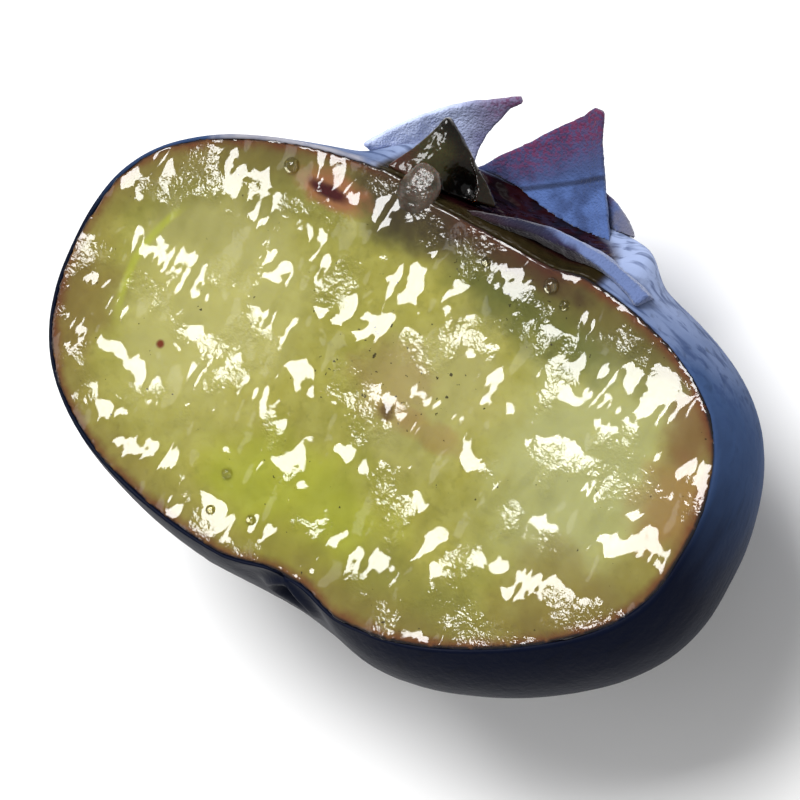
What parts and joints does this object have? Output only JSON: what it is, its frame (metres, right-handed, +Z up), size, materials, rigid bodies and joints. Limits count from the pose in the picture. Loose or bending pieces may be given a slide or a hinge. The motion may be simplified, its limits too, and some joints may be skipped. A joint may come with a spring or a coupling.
{
  "type": "halved blueberry",
  "caption": "Fresh blueberry cut in half through its calyx and stem scar, lying on its rounded skin with the wet green cut face up.",
  "frame": {"origin": "centre of the small flat spot on the rounded back, on the surface the half rests on", "axes": "+Z up out of the cut face, +Y from the stem scar to the calyx crown, +X across the fruit"},
  "size_m": [0.0179, 0.0141, 0.0085],
  "materials": {
    "skin": "dark blue skin under a thin grey waxy bloom",
    "flesh": "wet, see-through yellow-green flesh",
    "sepal": "velvety blue-grey calyx lobe with crimson speckles at the tip",
    "cut_sepal": "wet dark olive cut tissue",
    "juice": "clear wet juice"
  },
  "bodies": {
    "root": {"berry_half": "skin", "sepal_back_left": "sepal", "sepal_back_right": "sepal", "sepal_right": "sepal", "sepal_front_folded": "sepal", "sepal_left_cut": "cut_sepal"}
  },
  "joints": []
}
